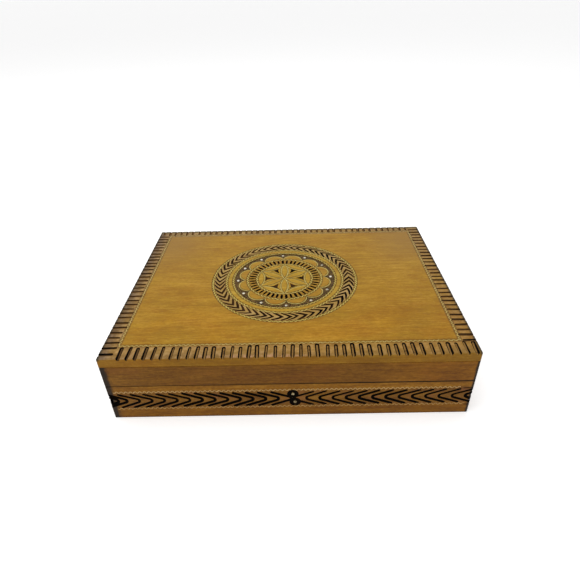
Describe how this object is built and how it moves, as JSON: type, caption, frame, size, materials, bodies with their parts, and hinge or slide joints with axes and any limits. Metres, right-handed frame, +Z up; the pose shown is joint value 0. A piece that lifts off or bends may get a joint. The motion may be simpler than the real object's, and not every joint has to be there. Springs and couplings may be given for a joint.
{
  "type": "carved wooden box",
  "caption": "Low rectangular wooden box with a hinged lid, notched lid edges, a carved rosette with inlaid metal pins and a burnt chevron band on the front.",
  "frame": {"origin": "middle of the underside of the walls and bottom board, where the box rests", "axes": "+X to the right along the front, +Y to the back where the hinges are, +Z up"},
  "size_m": [0.23, 0.1739, 0.0507],
  "materials": {
    "top_wood": "ochre stain under satin varnish, burnt carving",
    "rail_wood": "brown stain under satin varnish",
    "wall_wood": "brown stain under satin varnish, burnt carving",
    "bottom_wood": "plain, lightly varnished",
    "hinge_brass": "dulled brass",
    "ornament_metal": "bright white metal"
  },
  "bodies": {
    "base": {"base_front_wall": "wall_wood", "base_back_wall": "wall_wood", "base_left_wall": "wall_wood", "base_right_wall": "wall_wood", "bottom_board": "bottom_wood", "front_pin_upper": "ornament_metal", "front_pin_lower": "ornament_metal", "left_hinge_base_leaf": "hinge_brass", "left_hinge_base_nail_1": "hinge_brass", "left_hinge_base_nail_2": "hinge_brass", "left_hinge_pin": "hinge_brass", "right_hinge_base_leaf": "hinge_brass", "right_hinge_base_nail_1": "hinge_brass", "right_hinge_base_nail_2": "hinge_brass", "right_hinge_pin": "hinge_brass"},
    "lid": {"lid_front_rail": "rail_wood", "lid_back_rail": "rail_wood", "lid_left_rail": "rail_wood", "lid_right_rail": "rail_wood", "top_board": "top_wood", "rosette_pin_1": "ornament_metal", "rosette_pin_2": "ornament_metal", "rosette_pin_3": "ornament_metal", "rosette_pin_4": "ornament_metal", "rosette_pin_5": "ornament_metal", "rosette_pin_6": "ornament_metal", "rosette_pin_7": "ornament_metal", "rosette_pin_8": "ornament_metal", "rosette_pin_9": "ornament_metal", "rosette_pin_10": "ornament_metal", "rosette_pin_11": "ornament_metal", "rosette_pin_12": "ornament_metal", "left_hinge_lid_leaf": "hinge_brass", "left_hinge_lid_nail_1": "hinge_brass", "left_hinge_lid_nail_2": "hinge_brass", "right_hinge_lid_leaf": "hinge_brass", "right_hinge_lid_nail_1": "hinge_brass", "right_hinge_lid_nail_2": "hinge_brass"}
  },
  "joints": [
    {"name": "lid_hinge", "type": "hinge", "parent": "base", "child": "lid", "pos_m": [0, 0.0869, 0.02815], "axis": [-1, 0, 0], "range_deg": [0, 180]}
  ]
}
